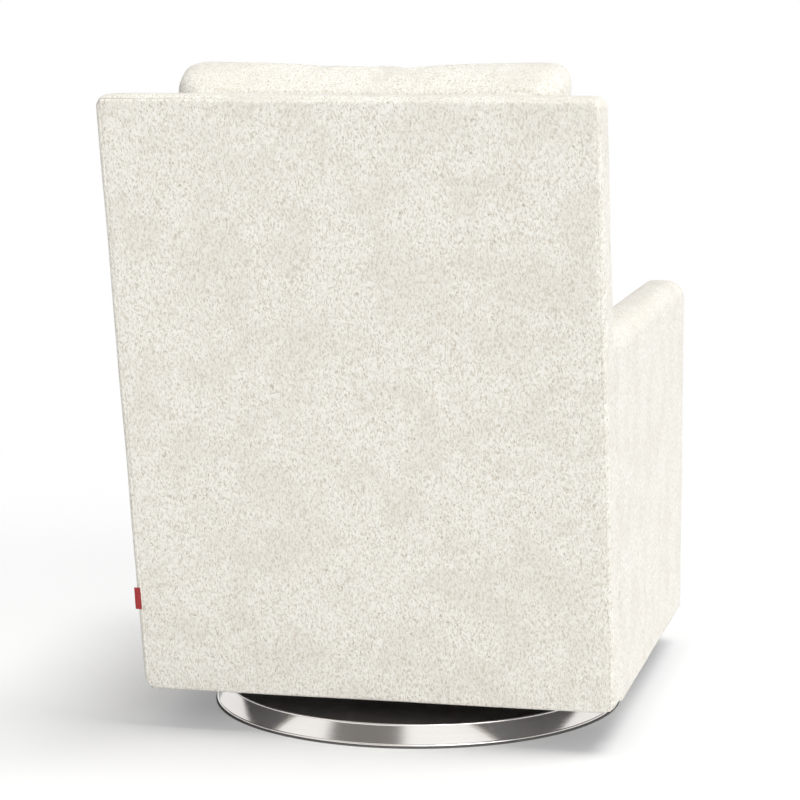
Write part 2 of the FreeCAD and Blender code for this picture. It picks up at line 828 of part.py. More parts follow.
def cushion(half_x, half_y, thickness, edges, crown):
    """A loft through outlines stacked along the thickness.

    edges are (share of the thickness, inset as a share of the corner radius) pairs, and crown has
    (share of the thickness, share of the way in to the flat middle) pairs.
    """
    crown_reach = min(half_x, half_y) - cushion_crown_flat
    levels = [(share, part * cushion_corner_radius) for share, part in edges]
    levels += [(share, part * crown_reach) for share, part in crown]
    outlines = []
    for share, inset in levels:
        corner = cushion_corner_radius + inset * 0.35
        draw = cushion_side_draw * max(0.0, 1 - inset / (2 * cushion_corner_radius))
        outlines.append(cushion_outline(half_x - inset, half_y - inset, corner, max(draw, 0.2),
                                        share * thickness))
    return Part.makeLoft(outlines, True, True)


def seat_cushion():
    """Flat underneath, upright boxed sides and a crowned top."""
    front = arm_front_y - seat_cushion_nose
    rear = back_face_y(deck_top_height) - back_depth - cushion_rest_gap
    edges = [(0.0, 0.6), (0.045, 0.2), (0.16, 0.06), (0.42, 0), (0.70, 0.06), (0.82, 0.23), (0.88, 0.7)]
    crown = [(0.93, 0.24), (0.97, 0.5), (1.0, 1.0)]
    body = cushion(arm_inside - cushion_side_gap, (rear - front) / 2, seat_cushion_height, edges, crown)
    body.translate(Vector(0, (front + rear) / 2, deck_top_height + cushion_rest_gap))
    return body


def back_cushion():
    """Leans on the inside back and stands on the seat cushion, crowned at the front."""
    lean = math.radians(back_rake)
    middle = back_cushion_thickness / 2
    top = back_cushion_top_height - middle * math.sin(lean)
    bottom = deck_top_height + seat_cushion_height - middle * math.sin(lean) - back_cushion_sink
    half_height = (top - bottom) / 2 / math.cos(lean)
    edges = [(0.0, 2.7), (0.03, 1.45), (0.11, 0.73), (0.27, 0.2), (0.48, 0), (0.66, 0.15), (0.82, 0.7)]
    crown = [(0.90, 0.23), (0.96, 0.5), (1.0, 1.0)]
    body = cushion(arm_inside - cushion_side_gap, half_height, back_cushion_thickness, edges, crown)
    center = (top + bottom) / 2
    lean_turn = Rotation(Vector(1, 0, 0), 90 - back_rake)
    rest = Vector(0, back_face_y(center) - back_depth, center)
    rest += Vector(0, -math.cos(lean), math.sin(lean)) * cushion_rest_gap
    body.Placement = Placement(rest, lean_turn)
    return body


def side_tag():
    """A plain folded ribbon in the seam at the left rear edge, below the middle."""
    side = half_width - rear_band_width
    return raked(side + rear_band_width - tag_tuck, half_width + tag_reach, -tag_thickness, 0,
                 tag_bottom_height, tag_bottom_height + tag_height)


def main():
    os.makedirs("parts", exist_ok=True)
    export("base_foot_pad", base_foot_pad())
    export("base_ring", base_ring())
    export("base_cross_arms", base_cross_arms())
    export("base_pan", base_pan())
    export("base_bolts", base_bolts())
    export("bearing_lower_plate", bearing_lower_plate())
    export("bearing_upper_plate", bearing_upper_plate())
    export("swivel_pin", swivel_pin())
    export("bearing_balls", bearing_balls())
    export("bearing_cage", bearing_cage())
    export("cradle_rivets", cradle_rivets())
    export("rocker_cradle", rocker_cradle())
    export("rocker_head", rocker_head())
    export("head_bolts", head_bolts())
    export("rock_stops", rock_stops())
    export("spring_cups_lower", spring_cups(cradle_top, 1))
    export("spring_cups_upper", spring_cups(head_underside_height, -1))
    pins = pivot_pin()
    export("pivot_pins", pins + [mirrored(piece) for piece in pins])
    bushing = pivot_bushing()
    export("pivot_bushings", [bushing, mirrored(bushing)])
    names = ["rock_spring_front_right", "rock_spring_front_left", "rock_spring_rear_right",
             "rock_spring_rear_left"]
    for name, (x, y) in zip(names, spring_places()):
        spring, gap = rock_spring(x, y)
        export(name, spring)
        print(name, "least gap between turns", round(gap, 2), "mm")

    export("mechanism_rail_front", mechanism_rail(-1))
    export("mechanism_rail_rear", mechanism_rail(1))
    export("front_seat_rail", front_seat_rail())
    export("front_bottom_rail", front_bottom_rail())
    export("back_seat_rail", back_seat_rail())
    export("back_bottom_rail", back_bottom_rail())
    export("back_middle_rail", back_middle_rail())
    export("back_top_rail", back_top_rail())
    export("corner_blocks", corner_blocks())
    pairs = {"back_post": back_post(), "arm_front_board": arm_front_board(),
             "arm_top_rail": arm_top_rail(), "side_bottom_rail": side_bottom_rail(),
             "seat_side_rail": seat_side_rail(), "arm_cover": arm_cover()}
    for name, shape in pairs.items():
        export(name + "_left", shape)
        export(name + "_right", mirrored(shape))

    export("seat_springs", seat_springs())
    export("spring_clips", spring_clips())
    export("back_webbing", back_webbing())
    export("seat_deck", seat_deck())
    export("back_border", back_border())
    export("outside_back", outside_back())
    export("inside_back", inside_back())
    export("front_border", front_border())
    export("dust_cover", dust_cover())
    export("seat_cushion", seat_cushion())
    export("back_cushion", back_cushion())
    export("side_tag", side_tag())


main()
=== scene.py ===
import json
import math

import bmesh
import bpy
import numpy as np
from mathutils import Matrix, Vector, noise


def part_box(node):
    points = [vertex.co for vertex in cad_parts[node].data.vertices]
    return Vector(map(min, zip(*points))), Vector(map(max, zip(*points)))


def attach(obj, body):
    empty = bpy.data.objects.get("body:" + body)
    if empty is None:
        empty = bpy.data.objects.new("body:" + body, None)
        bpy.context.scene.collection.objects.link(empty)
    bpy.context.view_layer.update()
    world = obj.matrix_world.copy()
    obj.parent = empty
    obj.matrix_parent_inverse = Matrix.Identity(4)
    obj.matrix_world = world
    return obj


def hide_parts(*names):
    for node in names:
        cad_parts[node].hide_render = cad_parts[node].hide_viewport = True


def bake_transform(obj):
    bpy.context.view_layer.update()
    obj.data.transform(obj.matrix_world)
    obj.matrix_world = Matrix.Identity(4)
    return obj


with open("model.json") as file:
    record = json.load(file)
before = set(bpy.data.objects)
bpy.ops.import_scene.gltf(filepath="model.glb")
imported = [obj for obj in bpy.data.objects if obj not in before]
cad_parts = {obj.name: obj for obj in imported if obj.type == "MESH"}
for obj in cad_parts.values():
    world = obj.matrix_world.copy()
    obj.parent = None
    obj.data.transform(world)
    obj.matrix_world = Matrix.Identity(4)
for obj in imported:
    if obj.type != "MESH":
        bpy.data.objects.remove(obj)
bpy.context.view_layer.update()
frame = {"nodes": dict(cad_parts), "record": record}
nodes = frame["nodes"]


# Camera
# The chair is seen from behind, a little from its right side and from slightly above.
# The place, tilt and lens were fitted to the corners of the back, the arm and the round foot.

view_azimuth = math.radians(193.11658)
view_elevation = math.radians(8.50595)
view_roll = math.radians(-0.17928)
camera_place = Vector((-0.97674, 4.31648, 1.14913))
lens_mm = 124.892

towards_camera = Vector((math.sin(view_azimuth) * math.cos(view_elevation),
                         -math.cos(view_azimuth) * math.cos(view_elevation),
                         math.sin(view_elevation)))
level_right = (-towards_camera).cross(Vector((0, 0, 1))).normalized()
level_up = level_right.cross(-towards_camera)
right = level_right * math.cos(view_roll) + level_up * math.sin(view_roll)
up = level_up * math.cos(view_roll) - level_right * math.sin(view_roll)

camera_data = bpy.data.cameras.new("camera")
camera_data.lens = lens_mm
camera_data.clip_end = 60.0
camera = bpy.data.objects.new("camera", camera_data)
camera.matrix_world = Matrix((
    (right.x, up.x, towards_camera.x, camera_place.x),
    (right.y, up.y, towards_camera.y, camera_place.y),
    (right.z, up.z, towards_camera.z, camera_place.z),
    (0, 0, 0, 1)))
bpy.context.scene.collection.objects.link(camera)
bpy.context.scene.camera = camera
bpy.context.scene.view_settings.view_transform = "Standard"


# Studio
# A white seamless floor that keeps the shadow, an even white room and two broad soft lamps, one
# overhead and one over the camera's right shoulder. A dark flag high in the room shows only in
# reflections.

class Amount:
    """A number that changes over a surface: one node socket, with its sums written as Python."""

    def __init__(self, finish, socket):
        self.finish = finish
        self.socket = socket

    def math(self, operation, *terms):
        return self.finish.add("ShaderNodeMath", {"operation": operation}, dict(enumerate(terms)))

    def __add__(self, other):
        return self.math("ADD", self, other)

    def __radd__(self, other):
        return self.math("ADD", other, self)

    def __sub__(self, other):
        return self.math("SUBTRACT", self, other)

    def __rsub__(self, other):
        return self.math("SUBTRACT", other, self)

    def __mul__(self, other):
        return self.math("MULTIPLY", self, other)

    def __rmul__(self, other):
        return self.math("MULTIPLY", other, self)

    def __pow__(self, other):
        return self.math("POWER", self, other)


class Finish:
    """A material under construction, or the room's own."""

    def __init__(self, name, room=None):
        self.material = room or bpy.data.materials.new(name)
        self.material.use_nodes = True
        self.nodes = self.material.node_tree.nodes
        self.links = self.material.node_tree.links
        self.nodes.clear()

    def add(self, kind, settings=None, sockets=None, output=0):
        """Adds one node: its settings first, then the values or links of its sockets."""
        made = self.nodes.new(kind)
        for key, value in (settings or {}).items():
            setattr(made, key, value)
        for key, value in (sockets or {}).items():
            if isinstance(value, Amount):
                self.links.new(value.socket, made.inputs[key])
            else:
                made.inputs[key].default_value = value
        return Amount(self, made.outputs[output] if made.outputs else None)

    def place(self, scale=(1, 1, 1)):
        """The piece's own coordinates in metres, scaled."""
        where = self.add("ShaderNodeTexCoord", None, None, "Object")
        return self.add("ShaderNodeMapping", None, {"Vector": where, "Scale": scale})

    def grain(self, where, scale, detail=2.0, roughness=0.5, distortion=0.0):
        """Soft random pattern from 0 to 1."""
        return self.add("ShaderNodeTexNoise", None, {"Vector": where, "Scale": scale, "Detail": detail,
                                                     "Roughness": roughness, "Distortion": distortion})

    def between(self, amount, low, high):
        """0 where amount is under low, 1 where it is over high, and smooth between."""
        return self.add("ShaderNodeMapRange", {"interpolation_type": "SMOOTHSTEP"},
                        {"Value": amount, "From Min": low, "From Max": high})

    def blend(self, factor, first, second):
        """A colour between two."""
        def colour(value):
            return value if isinstance(value, Amount) else (*value, 1.0)
        return self.add("ShaderNodeMix", {"data_type": "RGBA"},
                        {0: factor, 6: colour(first), 7: colour(second)}, 2)

    def surface(self, colour, roughness, height=None, relief=0.001, strength=0.5, **fixed):
        """The shader and the output. relief is the bump's real height in metres."""
        sockets = {"Base Color": colour if isinstance(colour, Amount) else (*colour, 1.0),
                   "Roughness": roughness, **fixed}
        if height is not None:
            sockets["Normal"] = self.add("ShaderNodeBump", None,
                                         {"Height": height, "Distance": relief, "Strength": strength})
        shader = self.add("ShaderNodeBsdfPrincipled", None, sockets)
        self.add("ShaderNodeOutputMaterial", None, {"Surface": shader})
        return self.material


def floor_finish():
    """White paper: darker only in the chair's shadow, and white to the eye further away."""
    finish = Finish("studio_floor")
    where = finish.add("ShaderNodeTexCoord", None, None, "Object")
    distance = finish.add("ShaderNodeVectorMath", {"operation": "LENGTH"}, {0: where}, "Value")
    far = finish.between(distance, 1.2, 2.6)
    paper = finish.add("ShaderNodeBsdfDiffuse", None, {"Color": (0.76, 0.76, 0.76, 1.0)})
    glow = finish.add("ShaderNodeEmission", None, {"Color": (1, 1, 1, 1), "Strength": 0.22})
    lifted = finish.add("ShaderNodeAddShader", None, {0: paper, 1: glow})
    white = finish.add("ShaderNodeEmission", None, {"Color": (1, 1, 1, 1), "Strength": 1.0})
    seen = finish.add("ShaderNodeMixShader", None, {0: far, 1: lifted, 2: white})
    path = finish.add("ShaderNodeLightPath", None, None, "Is Camera Ray")
    glossy = Amount(finish, path.socket.node.outputs["Is Glossy Ray"])
    through = Amount(finish, path.socket.node.outputs["Is Transmission Ray"])
    shown = path.math("MAXIMUM", path, glossy.math("MAXIMUM", glossy, through))
    result = finish.add("ShaderNodeMixShader", None, {0: shown, 1: paper, 2: seen})
    finish.add("ShaderNodeOutputMaterial", None, {"Surface": result})
    return finish.material


def flat_sheet(name, half):
    mesh = bpy.data.meshes.new(name)
    mesh.from_pydata([(-half, -half, 0), (half, -half, 0), (half, half, 0), (-half, half, 0)], [],
                     [(0, 1, 2, 3)])
    sheet = bpy.data.objects.new(name, mesh)
    bpy.context.scene.collection.objects.link(sheet)
    return sheet


floor_half = 14.0
floor = flat_sheet("studio_floor", floor_half)
floor.data.materials.append(floor_finish())

room_level = 0.40
flag_direction = Vector((0.29, 0.67, 0.68)).normalized()
flag_inner = math.cos(math.radians(15))
flag_outer = math.cos(math.radians(22))
flag_shade = (0.030, 0.020, 0.014)


def make_room():
    """Even light for the chair, white to the eye, and a dark flag for reflections."""
    room = Finish("studio", bpy.data.worlds.new("studio"))
    way = room.add("ShaderNodeTexCoord", None, None, "Generated")
    near = room.add("ShaderNodeVectorMath", {"operation": "DOT_PRODUCT"}, {0: way, 1: flag_direction},
                    "Value")
    mirrored = room.blend(room.between(near, flag_outer, flag_inner), (1, 1, 1), flag_shade)
    path = room.add("ShaderNodeLightPath", None, None, "Is Camera Ray")
    glossy = Amount(room, path.socket.node.outputs["Is Glossy Ray"])
    through = Amount(room, path.socket.node.outputs["Is Transmission Ray"])
    even = room.add("ShaderNodeBackground", None, {"Strength": room_level, "Color": (1, 1, 1, 1)})
    seen = room.add("ShaderNodeBackground", None, {"Color": room.blend(glossy, (1, 1, 1), mirrored)})
    shown = path.math("MAXIMUM", path, glossy.math("MAXIMUM", glossy, through))
    mixed = room.add("ShaderNodeMixShader", None, {0: shown, 1: even, 2: seen})
    room.add("ShaderNodeOutputWorld", None, {"Surface": mixed})
    return room.material


bpy.context.scene.world = make_room()


def broad_lamp(name, direction, strength, spread):
    """A soft lamp far away in the given direction."""
    data = bpy.data.lights.new(name, "SUN")
    data.energy = strength
    data.angle = math.radians(spread)
    lamp = bpy.data.objects.new(name, data)
    lamp.rotation_mode = "QUATERNION"
    lamp.rotation_quaternion = Vector(direction).to_track_quat("Z", "Y")
    bpy.context.scene.collection.objects.link(lamp)
    return lamp


broad_lamp("overhead_lamp", (-0.34, 0.05, 1.0), 1.75, 30)
broad_lamp("shoulder_lamp", (-0.72, 0.95, 0.15), 2.1, 55)


# Outside back
# The flat rear panel: boucle over a thin pad, pulled tight and blind-tacked inside the border.
# Its sides and top tuck in under the border's edge, and it leans with the back.

back_rake = math.radians(11.3)
panel_low, panel_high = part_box("outside_back")
panel_thickness = 0.008
panel_edge_roll = 0.0018
panel_tuck = 0.0026
panel_step = 0.003
panel_waviness = 0.0006
panel_wave_scale = 7.0
back_corner_round = 0.018
up_the_back = Vector((0, math.sin(back_rake), math.cos(back_rake)))
out_of_back = Vector((0, math.cos(back_rake), -math.sin(back_rake)))
panel_foot = Vector((0, panel_high.y - (panel_high.z - panel_low.z) * math.tan(back_rake), panel_low.z))


def boucle(name, light, mid, pit_shade_and_mottle):
    """Ivory boucle: small upright curls of yarn, a painted highlight on their crests, painted beige shade in
    their pits, and soft large clouds.
    """
    finish = Finish(name)
    where = finish.place()
    drift = finish.add("ShaderNodeTexNoise", None, {"Vector": where, "Scale": 110.0, "Detail": 1.0},
                       "Color")
    swing = finish.add("ShaderNodeVectorMath", {"operation": "MULTIPLY_ADD"},
                       {0: drift, 1: (0.008, 0.008, 0.008), 2: where})
    upright = finish.add("ShaderNodeMapping", None, {"Vector": swing, "Scale": (1.0, 1.0, 0.34)})
    curls = finish.grain(upright, 430.0, 1.0, 0.6)
    shifted = finish.add("ShaderNodeMapping", None, {"Vector": swing, "Location": (0.3, 0.1, 0.2),
                                                     "Scale": (1.0, 1.0, 0.45)})
    deep_pit_noise = finish.grain(shifted, 430.0, 1.0, 0.5)
    clouds = finish.grain(where, 13.0, 3.0, 0.6)
    # Painted light: the curls' crests are painted paler as if lit, and their hollows and deeper pits are
    # painted darker as shade.
    crest_highlight = finish.between(curls, 0.47, 0.56)
    hollow_shade = finish.between(curls, 0.43, 0.33)
    deep_pit_shade = finish.between(deep_pit_noise, 0.63, 0.71) * finish.between(clouds, 0.34, 0.56)
    shade = finish.blend(crest_highlight, mid, light)
    shade = finish.blend(hollow_shade * 0.42 + deep_pit_shade * 0.75, shade, pit_shade_and_mottle)
    shade = finish.blend(finish.between(clouds, 0.58, 0.36) * 0.16, shade, pit_shade_and_mottle)
    height = curls * 0.8 - deep_pit_shade * 0.25
    return finish.surface(shade, 0.95, height, 0.0022, 0.6,
                          **{"Sheen Weight": 0.2, "Sheen Roughness": 0.6, "Specular IOR Level": 0.2})


# The first colour is a painted highlight on the curl crests. The last is painted shade in the pits, and also
# the darker tone of the large clouds.
ivory_boucle = boucle("ivory_boucle", (0.93, 0.91, 0.85), (0.83, 0.795, 0.715), (0.50, 0.435, 0.34))


def add_piece(name, mesh, material):
    """Links a finished mesh as a piece of the chair."""
    mesh.materials.clear()
    mesh.materials.append(material)
    for polygon in mesh.polygons:
        polygon.use_smooth = True
    piece = bpy.data.objects.new(name, mesh)
    bpy.context.scene.collection.objects.link(piece)
    return piece


def skin(name, rings, material, closed=False):
    """Faces between rings of points that are closed in themselves, capped at both ends."""
    count = len(rings[0])
    points = [point for ring in rings for point in ring]
    faces = []
    spans = len(rings) if closed else len(rings) - 1
    for row in range(spans):
        above = (row + 1) % len(rings)
        for column in range(count):
            beside = (column + 1) % count
            faces.append((row * count + column, row * count + beside,
                          above * count + beside, above * count + column))
    if not closed:
        faces.append(tuple(reversed(range(count))))
        faces.append(tuple(range((len(rings) - 1) * count, len(rings) * count)))
    mesh = bpy.data.meshes.new(name)
    mesh.from_pydata(points, [], faces)
    outward(mesh)
    return add_piece(name, mesh, material)


def outward(mesh):
    """Turns every face of a closed mesh outwards."""
    work = bmesh.new()
    work.from_mesh(mesh)
    bmesh.ops.recalc_face_normals(work, faces=work.faces)
    work.to_mesh(mesh)
    work.free()


def roll(distance, radius):
    """How far a surface drops where it rolls over an edge at that distance."""
    if distance >= radius:
        return 0.0
    return radius - math.sqrt(max(0.0, radius ** 2 - (radius - distance) ** 2))


def wander(point, scale, seed):
    """Gentle unevenness of a padded surface, from -1 to 1."""
    return noise.noise(Vector((point[0] * scale + seed, point[1] * scale, point[2] * scale)))


def corner_draw(height):
    """How far the back's lower corners draw in at a height above the bottom edge."""
    return roll(height, back_corner_round)


def make_outside_back():
    half = panel_high.x + panel_tuck
    length = (panel_high.z - panel_low.z) / math.cos(back_rake) + panel_tuck
    columns = round(2 * half / panel_step)
    rows = round(length / panel_step)
    rings = []
    for row in range(rows + 1):
        climb = length * row / rows
        width = half - corner_draw(climb)
        ring = []
        for column in range(columns + 1):
            x = width * (2 * column / columns - 1)
            place = panel_foot + up_the_back * climb + Vector((x, 0, 0))
            drop = roll(width - abs(x), panel_edge_roll) + roll(min(climb, length - climb), panel_edge_roll)
            swell = panel_waviness * wander(place, panel_wave_scale, 3.0)
            ring.append(place + out_of_back * (swell - min(drop, panel_thickness * 0.8)))
        for x in (width, -width):
            ring.append(panel_foot + up_the_back * climb + Vector((x, 0, 0)) - out_of_back * panel_thickness)
        rings.append(ring)
    return skin("outside_back_cover", rings, ivory_boucle)


outside_back_cover = make_outside_back()
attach(outside_back_cover, "chair")
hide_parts("outside_back")


# Border, arms, front, inside back and deck
# Boucle sewn in panels and pulled over thin foam. Each panel's edges turn under at its seams, which
# leaves a narrow groove where two panels meet.

border_voxel = 0.003
panel_voxel = 0.0045
deck_voxel = 0.006
merge_distance = 0.00002
groove_passes = 2
pad_waviness = 0.0008
pad_wave_scale = 8.0
pad_fullness = 0.0012


def remeshed(mesh, voxel):
    """An even skin of small faces in place of a mesh's own."""
    holder = bpy.data.objects.new("remesh_work", mesh)
    bpy.context.scene.collection.objects.link(holder)
    cut = holder.modifiers.new("remesh", "REMESH")
    cut.mode = "VOXEL"
    cut.voxel_size = voxel
    graph = bpy.context.evaluated_depsgraph_get()
    result = bpy.data.meshes.new_from_object(holder.evaluated_get(graph))
    bpy.data.objects.remove(holder)
    return result


def joined_copy(node):
    """The node's mesh with its loose triangles joined."""
    mesh = nodes[node].data.copy()
    work = bmesh.new()
    work.from_mesh(mesh)
    bmesh.ops.remove_doubles(work, verts=work.verts, dist=merge_distance)
    work.to_mesh(mesh)
    work.free()
    return mesh


def soften(mesh, passes):
    """Relaxes a mesh so that its edges turn softly."""
    work = bmesh.new()
    work.from_mesh(mesh)
    for _ in range(passes):
        bmesh.ops.smooth_vert(work, verts=work.verts, factor=0.5, use_axis_x=True, use_axis_y=True,
                              use_axis_z=True)
    work.to_mesh(mesh)
    work.free()


def moved_points(mesh, move):
    """Moves each point of a mesh to move(point, normal)."""
    normals = [vertex.normal.copy() for vertex in mesh.vertices]
    for vertex, normal in zip(mesh.vertices, normals):
        vertex.co = move(vertex.co, normal)
    mesh.update()


def deck_cloth():
    """Off-white plain-woven cloth, which only shows when the seat cushion is lifted."""
    finish = Finish("deck_cloth")
    warp = finish.grain(finish.place((1.0, 0.12, 1.0)), 900.0, 2.0)
    weft = finish.grain(finish.place((0.12, 1.0, 1.0)), 900.0, 2.0)
    weave = warp.math("MAXIMUM", warp, weft)
    shade = finish.blend(weave, (0.62, 0.60, 0.54), (0.86, 0.84, 0.78))
    return finish.surface(shade, 0.9, weave, 0.0005, 0.5, **{"Specular IOR Level": 0.2})


def upholster(node, voxel, piece_name, seed, cloth=ivory_boucle):
    """A fabric panel in the place of a solid: even skin, soft edges and a slight unevenness."""
    mesh = remeshed(joined_copy(node), voxel)
    soften(mesh, groove_passes)
    moved_points(mesh, lambda at, normal:
                 at + normal * (pad_fullness + pad_waviness * wander(at, pad_wave_scale, seed)))
    piece = add_piece(piece_name, mesh, cloth)
    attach(piece, "chair")
    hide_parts(node)
    return piece


border_cover = upholster("back_border", border_voxel, "back_border_cover", 11.0)
moved_points(border_cover.data, lambda at, normal: Vector((
    at.x - math.copysign(corner_draw((at.z - panel_low.z) / math.cos(back_rake)), at.x), at.y, at.z))
    if abs(at.x) > panel_high.x - back_corner_round else at)
upholster("arm_cover_left", panel_voxel, "arm_left_cover", 21.0)
upholster("arm_cover_right", panel_voxel, "arm_right_cover", 31.0)
upholster("front_border", panel_voxel, "front_border_cover", 41.0)
upholster("inside_back", panel_voxel, "inside_back_cover", 51.0)
upholster("seat_deck", deck_voxel, "seat_deck_cover", 61.0, deck_cloth())


# Seat cushion and back cushion
# Foam cores in boxed boucle covers. The covers are a little large for the foam, so they swell
# between their seams, and the seams draw in as narrow grooves.

cushion_voxel = 0.007
cushion_pressure = 4.0
cushion_frames = 20
cushion_swell_limit = 0.014
cushion_start_inset = 0.001
cushion_edge_passes = 4
cushion_clearance = 0.001
seam_width = 0.0030
seam_depth = 0.0028
back_cushion_thickness = 0.200
back_depth = 0.072


def swollen(mesh, name):
    """The cover blown up by its foam: a cloth run with inner pressure, its movement held back."""
    start = np.zeros(len(mesh.vertices) * 3)
    mesh.vertices.foreach_get("co", start)
    start = start.reshape(-1, 3)
    body = bpy.data.objects.new(name + "_work", mesh)
    bpy.context.scene.collection.objects.link(body)
    cloth = body.modifiers.new("cloth", "CLOTH")
    cloth.settings.quality = 4
    cloth.settings.mass = 0.4
    cloth.settings.tension_stiffness = 12
    cloth.settings.compression_stiffness = 12
    cloth.settings.shear_stiffness = 6
    cloth.settings.bending_stiffness = 2
    cloth.settings.use_pressure = True
    cloth.settings.uniform_pressure_force = cushion_pressure
    cloth.settings.effector_weights.gravity = 0
    cloth.collision_settings.use_collision = False
    cloth.point_cache.frame_start = 1
    cloth.point_cache.frame_end = cushion_frames
    scene = bpy.context.scene
    for step in range(1, cushion_frames + 1):
        scene.frame_set(step)
    graph = bpy.context.evaluated_depsgraph_get()
    result = bpy.data.meshes.new_from_object(body.evaluated_get(graph))
    scene.frame_set(1)
    bpy.data.objects.remove(body)
    end = np.zeros(len(result.vertices) * 3)
    result.vertices.foreach_get("co", end)
    shift = end.reshape(-1, 3) - start
    length = np.linalg.norm(shift, axis=1)
    share = cushion_swell_limit / (cushion_swell_limit + length)
    result.vertices.foreach_set("co", (start + shift * share[:, None]).ravel())
    result.update()
    return result


def cushion_cover(node, name, seam_levels, level_of, settle):
    """A cushion: swollen, drawn in along its seams, and settled on what it rests on."""
    mesh = remeshed(joined_copy(node), cushion_voxel)
    soften(mesh, cushion_edge_passes)
    rest = [min(abs(level_of(v.co) - level) for level in seam_levels) for v in mesh.vertices]
    mark = mesh.attributes.new("seam_gap", "FLOAT", "POINT")
    mark.data.foreach_set("value", rest)
    moved_points(mesh, lambda at, normal: at - normal * cushion_start_inset)
    mesh = swollen(mesh, name)
    piece = bpy.data.objects.new(name + "_fine", mesh)
    bpy.context.scene.collection.objects.link(piece)
    finer = piece.modifiers.new("finer", "SUBSURF")
    finer.levels = 1
    finer.render_levels = 1
    graph = bpy.context.evaluated_depsgraph_get()
    fine = bpy.data.meshes.new_from_object(piece.evaluated_get(graph))
    bpy.data.objects.remove(piece)
    gaps = np.zeros(len(fine.vertices), np.float32)
    fine.attributes["seam_gap"].data.foreach_get("value", gaps)
    fine.update()
    normals = [v.normal.copy() for v in fine.vertices]
    for vertex, normal, gap in zip(fine.vertices, normals, gaps):
        draw = seam_depth * math.exp(-(gap / seam_width) ** 2)
        vertex.co = settle(vertex.co - normal * draw)
    fine.update()
    made = add_piece(name, fine, ivory_boucle)
    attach(made, "chair")
    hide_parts(node)
    return made


seat_low, seat_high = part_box("seat_cushion")
deck_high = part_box("seat_deck")[1]
rest_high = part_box("back_cushion")[1]
arm_inside = -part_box("arm_cover_right")[1].x
back_front_foot = panel_foot - out_of_back * back_depth


def depth_from_back(at):
    """Distance of a point in front of the inside back's face."""
    return -(at - back_front_foot).dot(out_of_back)


def settle_seat(at):
    """The seat cushion lies flat on the deck and touches the arms and back without entering them."""
    x = max(cushion_clearance - arm_inside, min(arm_inside - cushion_clearance, at.x))
    behind = cushion_clearance - depth_from_back(at)
    y = at.y - max(0.0, behind) / math.cos(back_rake)
    return Vector((x, y, max(at.z, deck_high.z + cushion_clearance / 2)))


crest_start = 0.75
crest_sag = 0.0015
crest_rise = 0.006
crest_lean = 0.006
crest_spread = 0.015


def settle_back(at):
    """The back cushion leans on the inside back. Clear of the arms it spreads and leans to one side, and
    its top sags a little between its corners."""
    x = max(cushion_clearance - arm_inside, min(arm_inside - cushion_clearance, at.x))
    behind = cushion_clearance - depth_from_back(at)
    moved = Vector((x, at.y, at.z)) - out_of_back * max(0.0, behind)
    high = max(0.0, (moved.z - crest_start) / (rest_high.z - crest_start))
    moved.z += high * (crest_rise - crest_sag * (1 - (moved.x / arm_inside) ** 2))
    moved.x += high * (crest_spread * moved.x - crest_lean)
    return moved


seat_height = seat_high.z - seat_low.z
cushion_cover(
    "seat_cushion", "seat_cushion_cover", (0.09 * seat_height, 0.84 * seat_height),
    lambda at: at.z - seat_low.z, settle_seat)
cushion_cover(
    "back_cushion", "back_cushion_cover", (0.0205, back_cushion_thickness - 0.040),
    depth_from_back, settle_back)


# Round foot
# A rolled band of brushed stainless steel round a welded steel cross, with a dark pan inside.
# The pan's own finish follows those of the mechanism, in the last section.

def brushed_steel():
    finish = Finish("brushed_stainless")
    where = finish.place()
    apart = finish.add("ShaderNodeSeparateXYZ", None, {"Vector": where}, "X")
    node = apart.socket.node
    x = Amount(finish, node.outputs["X"])
    y = Amount(finish, node.outputs["Y"])
    z = Amount(finish, node.outputs["Z"])
    round_way = x.math("ARCTAN2", y, x)
    reach = (x * x + y * y) ** 0.5
    brushed = finish.add("ShaderNodeCombineXYZ", None, {"X": round_way * 1.5, "Y": reach * 900.0,
                                                        "Z": z * 900.0})
    lines = finish.grain(brushed, 1.0, 3.0, 0.6)
    cloud = finish.grain(where, 22.0, 2.0)
    shade = finish.blend(lines, (0.84, 0.79, 0.75), (0.96, 0.94, 0.92))
    return finish.surface(shade, lines * 0.08 + cloud * 0.04 + 0.08, lines, 0.0002, 0.25,
                          Metallic=0.80)


def painted_steel(name, shade, gloss):
    """Semi-matt coating with a faint orange peel and darker patches of dust at random."""
    finish = Finish(name)
    where = finish.place()
    peel = finish.grain(where, 420.0, 2.0)
    dust = finish.between(finish.grain(where, 30.0, 4.0), 0.45, 0.70)
    darker = tuple(v * 0.75 for v in shade)
    colour = finish.blend(dust, darker, shade)
    return finish.surface(colour, gloss + peel * 0.12, peel, 0.0002, 0.3, **{"Specular IOR Level": 0.4})


def show(names, material):
    """Gives solids that already have their real shape their finish."""
    for name in names:
        nodes[name].data.materials.clear()
        nodes[name].data.materials.append(material)


show(["base_ring"], brushed_steel())
black_paint = painted_steel("black_paint", (0.060, 0.052, 0.047), 0.38)


# Side tag
# A plain red woven ribbon, folded double, its ends caught in the left rear seam.
# The fold stands a few millimetres out past the side, and the two layers lie slightly apart.

tag_low, tag_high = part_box("side_tag")
tag_half_gap = 0.00055
tag_fold_x = tag_high.x - 0.0030
tag_seam_x = tag_low.x + 0.0035
tag_wave = 0.0004
tag_rows = 28
tag_turn_steps = 8


def tag_ribbon():
    """Red satin-edged ribbon: fine weft ribs across a slightly darker ground."""
    finish = Finish("tag_ribbon")
    ribs = finish.add("ShaderNodeTexWave", {"wave_type": "BANDS", "bands_direction": "Z"},
                      {"Vector": finish.place(), "Scale": 420.0, "Distortion": 0.6})
    fibre = finish.grain(finish.place((1.0, 1.0, 3.0)), 900.0, 2.0)
    weave = ribs * 0.7 + fibre * 0.3
    shade = finish.blend(weave, (0.26, 0.010, 0.012), (0.42, 0.018, 0.022))
    return finish.surface(shade, 0.62, weave, 0.0003, 0.6, **{"Sheen Weight": 0.2})


